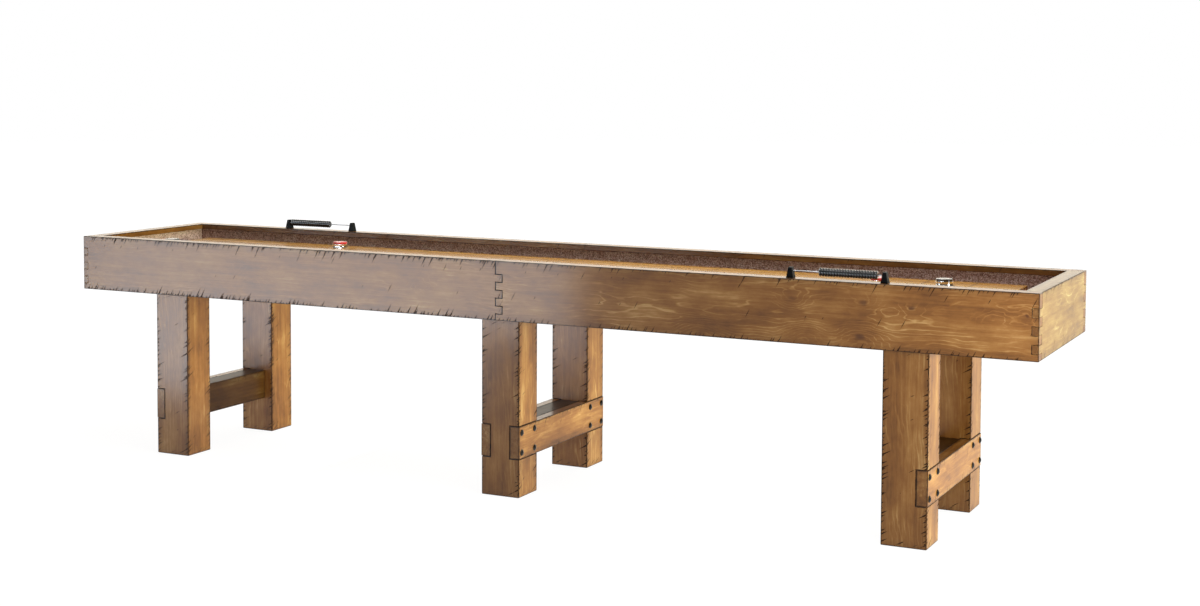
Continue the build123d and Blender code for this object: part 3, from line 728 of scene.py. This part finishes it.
def make_carpet(name, node, box, axis, facing, material):
    """A glued strip of carpet: a soft, uneven face that rolls down to its cut edges."""
    ranges = spans(box)
    others = [k for k in (X, Y, Z) if k != axis]
    counts = [max(4, round((ranges[k][1] - ranges[k][0]) / CARPET_CELL)) for k in others]
    face, back = ranges[axis] if facing < 0 else ranges[axis][::-1]
    shape = bmesh.new()
    grid = []
    for i in range(counts[0] + 1):
        row = []
        for j in range(counts[1] + 1):
            point = Vector((0.0, 0.0, 0.0))
            for k, n, count in zip(others, (i, j), counts):
                low, high = ranges[k]
                point[k] = low + (high - low) * n / count
            rim = i in (0, counts[0]) or j in (0, counts[1])
            lumps = noise.fractal(point * 42, 1.0, 2.0, 3) * 0.45 + 0.5
            sink = CARPET_ROLL if rim else CARPET_LUMP * min(1.0, max(0.0, lumps))
            point[axis] = face - facing * sink
            row.append(shape.verts.new(point))
        grid.append(row)
    for i in range(counts[0]):
        for j in range(counts[1]):
            shape.faces.new((grid[i][j], grid[i + 1][j], grid[i + 1][j + 1], grid[i][j + 1]))
    border = grid[0] + [row[-1] for row in grid[1:]] + grid[-1][-2::-1] + [row[0] for row in grid[-2:0:-1]]
    under = []
    for vertex in border:
        point = vertex.co.copy()
        point[axis] = back
        under.append(shape.verts.new(point))
    for n, vertex in enumerate(border):
        following = (n + 1) % len(border)
        shape.faces.new((vertex, border[following], under[following], under[n]))
    shape.faces.new(under)
    piece = add_object(name, mesh_from(shape, name, [material]), TABLE)
    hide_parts(node)


def make_carpets(material):
    """Carpet on the inner walls of the rim and on the gutter's floor."""
    reach_x, reach_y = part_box("side_wall_carpets")[1].xy
    wall_z = spans(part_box("side_wall_carpets"))[Z]
    pile = reach_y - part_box("end_wall_carpets")[1].y
    for side, sign in (("front", -1), ("rear", 1)):
        y = sorted((sign * reach_y, sign * (reach_y - pile)))
        for half, x in (("left", (-reach_x, CARPET_SEAM_X)), ("right", (CARPET_SEAM_X, reach_x))):
            box = list(zip(x, y, wall_z))
            make_carpet(f"{side}_wall_carpet_{half}", "side_wall_carpets", box, Y, -sign,
                        material)
    clear = reach_y - pile
    for half, sign in (("left", -1), ("right", 1)):
        x = sorted((sign * reach_x, sign * (reach_x - pile)))
        box = list(zip(x, (-clear, clear), wall_z))
        make_carpet(f"end_wall_carpet_{half}", "end_wall_carpets", box, X, -sign,
                    material)
    floor_low, floor_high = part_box("gutter_carpets")
    floor_z = (floor_low.z, floor_high.z)
    inner_y = GUTTER_INNER_Y
    for side, sign in (("front", -1), ("rear", 1)):
        y = sorted((sign * inner_y, sign * floor_high.y))
        box = list(zip((floor_low.x, floor_high.x), y, floor_z))
        make_carpet(f"{side}_gutter_carpet", "gutter_carpets", box, Z, 1, material)
    for half, sign in (("left", -1), ("right", 1)):
        x = sorted((sign * GUTTER_INNER_X, sign * floor_high.x))
        box = list(zip(x, (-inner_y, inner_y), floor_z))
        make_carpet(f"{half}_gutter_carpet", "gutter_carpets", box, Z, 1, material)


# ---------------------------------------------------------------- turned pieces
BOLT_HEAD = 11 * MM       # radius
BOLT_RISE = 6 * MM
BOLT_SHANK = 5 * MM
BOLT_LENGTH = 60 * MM
BOLT_ROWS = (22 * MM, 90 * MM)          # above the plate's bottom edge
BOLT_COLUMNS = (18 * MM, 108 * MM)      # in from the leg's outer face
BEAD_PITCH = 9 * MM
BEAD_BORE = 2 * MM        # radius
POST_BEVEL = 1.1 * MM


def bolt_profile():
    """A carriage bolt: thin rim, low dome and a chamfered shank."""
    dome_edge = (BOLT_HEAD - 1.2 * MM, 2.0 * MM)
    rise = BOLT_RISE - dome_edge[1]
    radius = (dome_edge[0] ** 2 + rise ** 2) / (2 * rise)
    centre = (0.0, BOLT_RISE - radius)
    start = math.degrees(math.atan2(dome_edge[1] - centre[1], dome_edge[0]))
    tip = [(0.0, -BOLT_LENGTH), (BOLT_SHANK - MM, -BOLT_LENGTH), (BOLT_SHANK, MM - BOLT_LENGTH)]
    rim = [(BOLT_SHANK, 0.0), (BOLT_HEAD - 0.4 * MM, 0.0), (BOLT_HEAD, 0.4 * MM), (BOLT_HEAD, 1.2 * MM),
           (BOLT_HEAD - 0.5 * MM, 1.7 * MM)]
    return tip + rim + arc(centre, radius, start, 90, 8)[:-1] + [(0.0, BOLT_RISE)]


def make_plate_bolts(material):
    """The domed bolts that hold the side plates to the legs."""
    shape = bmesh.new()
    profile = bolt_profile()
    for node in sorted(n for n in frame["nodes"] if n.startswith("side_plate")):
        low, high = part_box(node)
        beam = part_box("cross_beam_" + node.split("_")[2])
        direction = 1 if high.x > beam[1].x + MM else -1
        face = high.x if direction > 0 else low.x
        for side in (-1, 1):
            outer = high.y if side > 0 else low.y
            for column in BOLT_COLUMNS:
                for row in BOLT_ROWS:
                    place = (face, outer - side * column, low.z + row)
                    turned = [(radius, direction * height) for radius, height in profile]
                    lathe(turned, place, X, 32, shape)
    piece = add_object("domed_bolts", mesh_from(shape, "domed_bolts", [material]), TABLE)
    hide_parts("plate_bolts")


def bead_profile(radius, half, bore):
    """A counting bead: full round rim, a shallow dish in each face and an eased bore."""
    dish = 0.5 * MM
    rim = [(radius - half * 1.25 * (1 - r), h) for r, h in arc((0.0, 0.0), 1.0, 0, 84, 8)]
    rim = [(r, half * h) for r, h in rim]
    face = [(radius - 6.0 * MM, half), (radius - 6.8 * MM, half - dish), (bore + 2.0 * MM, half - dish),
            (bore + 1.4 * MM, half), (bore + 0.4 * MM, half), (bore, half - 0.4 * MM)]
    upper = rim + face
    lower = [(r, -h) for r, h in reversed(upper)]
    return lower + upper + [lower[0]]


def make_beads(material):
    """The beads of both scorers, a piece for each body."""
    for side in ("front", "rear"):
        for group in ("held", "counted"):
            node = f"{side}_beads_{group}"
            low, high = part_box(node)
            count = round((high.x - low.x) / BEAD_PITCH)
            thick = high.x - low.x - (count - 1) * BEAD_PITCH
            radius = (high.z - low.z) / 2
            shape = bmesh.new()
            for n in range(count):
                place = (low.x + thick / 2 + n * BEAD_PITCH, (low.y + high.y) / 2, (low.z + high.z) / 2)
                lathe(bead_profile(radius, thick / 2, BEAD_BORE), place, X, 48, shape)
            piece = add_object(node + "_turned", mesh_from(shape, node, [material]), node)
            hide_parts(node)


def make_posts(material):
    """The scorers' tapered posts, with eased edges."""
    shape = cad_shape("scorer_posts")
    soften(shape, POST_BEVEL, segments=3, shortest=8 * MM)
    mesh = mesh_from(shape, "scorer_posts_moulded", [material])
    piece = add_object("scorer_posts_moulded", mesh, TABLE)
    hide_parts("scorer_posts")
    weigh_normals(piece)


def puck_base_profile(radius, height):
    """A chromed weight: eased feet, a waist and a rolled upper edge."""
    ease = 1.0 * MM
    waist = 1.6 * MM
    foot = [(0.0, 0.4 * MM), (radius - 6 * MM, 0.4 * MM), (radius - 5 * MM, 0.0), (radius - ease, 0.0)]
    foot += arc((radius - ease, ease), ease, -60, 0, 3)
    side = []
    for n in range(1, 12):
        share = n / 12
        side.append((radius - waist * math.sin(math.pi * share) ** 0.7, ease + (height - 2 * ease) * share))
    head = arc((radius - ease, height - ease), ease, 0, 90, 4)
    return foot + side + head + [(0.0, height)]


def puck_cap_profile(radius, height):
    """A moulded cap: rounded rim, a ring groove and a shallow thumb dish."""
    bend = 2.6 * MM
    groove = 0.8 * MM
    rim = [(0.0, 0.0), (radius - 0.4 * MM, 0.0), (radius, 0.4 * MM)]
    rim += arc((radius - bend, height - bend), bend, 0, 90, 6)
    ring = [(radius - 5.5 * MM, height), (radius - 6.0 * MM, height - groove),
            (radius - 7.4 * MM, height - groove), (radius - 7.9 * MM, height)]
    dish = []
    for n in range(9):
        share = n / 8
        sink = 1.3 * MM * math.sin(math.pi / 2 * share) ** 2
        dish.append(((radius - 10 * MM) * (1 - share), height - sink))
    return rim + ring + dish


def make_pucks(chrome, caps):
    """The four sliding weights."""
    for body in sorted(b for b in frame["bodies"] if b.startswith("puck")):
        colour = "red" if "red" in body else "black"
        for part, profile, material, slot in (
                ("base", puck_base_profile, chrome, "puck_chrome"),
                ("cap", puck_cap_profile, caps[colour], colour + "_cap")):
            node = f"{body}_{part}"
            low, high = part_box(node)
            shape = bmesh.new()
            place = ((low.x + high.x) / 2, (low.y + high.y) / 2, low.z)
            lathe(profile((high.x - low.x) / 2, high.z - low.z), place, Z, 96, shape)
            piece = add_object(node + "_turned", mesh_from(shape, node, [material]), body)
            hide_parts(node)


# ---------------------------------------------------------------- floor and light
FLOOR_RADIUS = 30.0
FLOOR_GLOW = 0.88         # share of its own light near the table


def make_floor():
    """A plain pale floor that brightens into the backdrop."""
    shape = bmesh.new()
    bmesh.ops.create_circle(shape, cap_ends=True, radius=FLOOR_RADIUS, segments=96)
    mesh = bpy.data.meshes.new("floor")
    shape.to_mesh(mesh)
    shape.free()
    floor = bpy.data.objects.new("floor", mesh)
    bpy.context.scene.collection.objects.link(floor)
    material, s = new_material("pale_floor")
    far = s.vector("LENGTH", s.vector("MULTIPLY", s.place(), (0.6, 1.0, 1.0)))
    grain = s.noise(s.place(), 30.0, 3.0)
    diffuse = s.node("BsdfDiffuse", {"Color": s.mix(grain, rgb(0.86, 0.86, 0.86), rgb(0.90, 0.90, 0.90))})
    glow = s.node("Emission", {"Color": rgb(1, 1, 1), "Strength": 1.08})
    share = s.ease(far, 0.5, 5.0, FLOOR_GLOW, 1.0)
    shader = s.node("MixShader", {0: share, 1: diffuse.outputs[0], 2: glow.outputs[0]})
    s.node("OutputMaterial", {"Surface": shader.outputs[0]})
    mesh.materials.append(material)


def make_world():
    """A white backdrop to look at, and a studio that is bright behind and dark in front."""
    world = bpy.data.worlds.new("studio")
    world.use_nodes = True
    bpy.context.scene.world = world
    s = Shader(world.node_tree)
    direction = s.node("TexCoord").outputs["Generated"]
    x, y, z = s.parts(direction)
    behind = s.times(s.ease(y, 0.1, 0.6), s.ease(x, 0.28, 0.56, 1.0, 0.0))
    low = s.ease(s.math("ABSOLUTE", z), 0.0, 0.6, 1.0, 0.0)
    strength = s.add(0.10, s.times(behind, low, 2.5), s.times(behind, 0.30))
    soft = s.node("Background", {"Color": rgb(1.0, 0.94, 0.82), "Strength": strength})
    white = s.node("Background", {"Color": rgb(1, 1, 1), "Strength": 1.0})
    camera = s.node("LightPath").outputs["Is Camera Ray"]
    mixed = s.node("MixShader", {0: camera, 1: soft.outputs[0], 2: white.outputs[0]})
    s.node("OutputWorld", {"Surface": mixed.outputs[0]})


def make_lamp(name, place, target, size, radiance, diffuse=True, glossy=True, colour=(1.0, 1.0, 1.0)):
    """A rectangular soft box of a given radiance that faces a target. The camera doesn't see it."""
    data = bpy.data.lights.new(name, "AREA")
    data.shape = "RECTANGLE"
    data.size, data.size_y = size
    data.energy = radiance * math.pi * size[0] * size[1]
    data.color = colour
    lamp = bpy.data.objects.new(name, data)
    bpy.context.scene.collection.objects.link(lamp)
    away = Vector(place) - Vector(target)
    lamp.rotation_mode = "QUATERNION"
    lamp.rotation_quaternion = away.to_track_quat("Z", "Y")
    lamp.location = place
    lamp.visible_camera = False
    lamp.visible_diffuse = diffuse
    lamp.visible_glossy = glossy


KEY_TINT = (1.0, 1.09, 0.78)
SHEEN_TINT = (0.86, 1.0, 1.14)
BOUNCE_TINT = (1.0, 0.92, 0.70)


def make_lamps():
    """A low key far off to the right, soft light from above and behind, and fill at the right end.

    The panels and sheens show only in the lacquer and the beads. The bounces warm the legs near the floor.
    """
    make_lamp("key_right", (15.0, 0.9, 0.95), (0.0, 0.0, 0.4), (8.0, 1.8), 122.0, glossy=False,
              colour=KEY_TINT)
    make_lamp("overhead", (0.5, 0.2, 4.2), (0.2, 0.0, 0.7), (5.5, 2.4), 4.6, glossy=False)
    make_lamp("end_fill", (2.2, -1.15, 0.75), (1.5, 0.0, 0.60), (0.8, 0.6), 10.0, glossy=False)
    make_lamp("high_panel", (0.2, -1.7, 3.9), (0.0, 0.0, 0.85), (2.6, 1.3), 20.0, diffuse=False)
    make_lamp("side_panel", (4.2, -0.4, 1.6), (1.2, -0.3, 0.85), (0.8, 1.0), 14.0, diffuse=False)
    make_lamp("left_sheen", (-1.55, -1.3, 0.79), (-1.55, 0.0, 0.79), (2.7, 0.8), 8.6, diffuse=False,
              colour=SHEEN_TINT)
    make_lamp("low_sheen", (-1.95, -1.3, 0.20), (-1.95, 0.0, 0.20), (1.9, 0.38), 9.6, diffuse=False,
              colour=SHEEN_TINT)
    make_lamp("middle_sheen", (-0.82, -1.3, 0.28), (-0.82, 0.0, 0.28), (0.26, 0.36), 8.0, diffuse=False,
              colour=SHEEN_TINT)
    make_lamp("bounce_left", (-0.80, 0.0, 0.04), (-1.35, 0.0, 0.14), (0.6, 0.1), 16.0, glossy=False,
              colour=BOUNCE_TINT)
    make_lamp("bounce_middle", (0.45, 0.0, 0.03), (0.07, 0.0, 0.06), (0.6, 0.06), 9.0, glossy=False,
              colour=BOUNCE_TINT)
    make_lamp("rear_light", (-1.0, 5.5, 2.4), (0.0, 0.0, 0.5), (5.0, 2.5), 1.8, glossy=False)


# ---------------------------------------------------------------- the whole object
def finish_hidden_nodes():
    """Materials for the CAD nodes that stay as they are."""
    pine_colours = (rgb(0.33, 0.18, 0.075), rgb(0.56, 0.37, 0.19))
    pine = sawn_material("sawn_softwood", *pine_colours, (70.0, 9.0, 70.0))
    pine_long = sawn_material("sawn_softwood_long", *pine_colours, (9.0, 70.0, 70.0))
    plywood = sawn_material("plywood", rgb(0.36, 0.22, 0.11), rgb(0.58, 0.41, 0.23), (5.0, 60.0, 20.0),
                            ply=0.5)
    steel = metal_material("zinc_plated_steel", rgb(0.36, 0.36, 0.35), rgb(0.62, 0.62, 0.60), 0.30)
    rod = metal_material("drawn_steel", rgb(0.16, 0.16, 0.165), rgb(0.42, 0.42, 0.43), 0.22, (0.05, 1.0, 1.0))
    brass = metal_material("brass", rgb(0.50, 0.30, 0.09), rgb(0.72, 0.48, 0.18), 0.28)
    black = metal_material("black_steel", rgb(0.020, 0.019, 0.018), rgb(0.050, 0.047, 0.044), 0.36)
    chosen = {"cross_bearers": pine, "playfield_risers": pine, "floor_cleats": pine_long,
              "bottom_panels": plywood, "splice_plates": steel, "adjuster_brackets": steel,
              "adjuster_rods": steel, "leg_bolts": steel, "scorer_studs": steel, "scorer_rods": rod,
              "leveler_inserts": brass}
    for node in frame["nodes"]:
        if node.startswith("turnbuckle"):
            chosen[node] = steel
        if node.startswith("leveler_") and node != "leveler_inserts":
            chosen[node] = black
    for node, material in chosen.items():
        for slot in frame["nodes"][node].material_slots:
            slot.material = material


def make_object():
    """Every visible piece of the table."""
    woods = {"plain": wood_material("lacquered_wood"),
             "front_rail_left": wood_material("lacquered_wood_front_left", FRONT_LEFT_KNOTS),
             "front_rail_right": wood_material("lacquered_wood_front_right", FRONT_RIGHT_KNOTS)}
    arris = burnished_material("burnished_edge", rgb(0.006, 0.003, 0.0015), rgb(0.090, 0.036, 0.010))
    # painted shade: a near-black, dull material on the splice's bevels, standing for the shadow in the
    # joint's gap
    splice_gap_shade, s = new_material("joint_gap_shade")
    s.surface({"Base Color": rgb(0.004, 0.002, 0.001), "Roughness": 0.8, "Specular IOR Level": 0.05})
    make_rim(woods, arris, splice_gap_shade)
    make_leg_frames((woods["plain"], arris))
    make_playfield(maple_material())
    make_carpets(carpet_material())
    make_plate_bolts(metal_material("blackened_iron", rgb(0.020, 0.019, 0.018), rgb(0.075, 0.070, 0.065),
                                    0.26))
    make_beads(plastic_material("black_bead_plastic", rgb(0.002, 0.002, 0.0022), rgb(0.006, 0.006, 0.0065),
                                0.10, 1.0))
    make_posts(plastic_material("black_post_plastic", rgb(0.002, 0.002, 0.0022), rgb(0.007, 0.007, 0.0075),
                                0.30, 0.0, specular=0.05))
    chrome = metal_material("chromed_steel", rgb(0.60, 0.61, 0.62), rgb(0.82, 0.82, 0.83), 0.06)
    red = plastic_material("red_cap_plastic", rgb(0.42, 0.010, 0.012), rgb(0.62, 0.022, 0.020), 0.20, 0.6)
    black = plastic_material("black_cap_plastic", rgb(0.006, 0.006, 0.007), rgb(0.016, 0.016, 0.018),
                             0.20, 0.6)
    caps = {"red": red, "black": black}
    make_pucks(chrome, caps)
    finish_hidden_nodes()


make_camera()
make_object()
make_floor()
make_world()
make_lamps()
bpy.context.scene.view_settings.view_transform = "Standard"
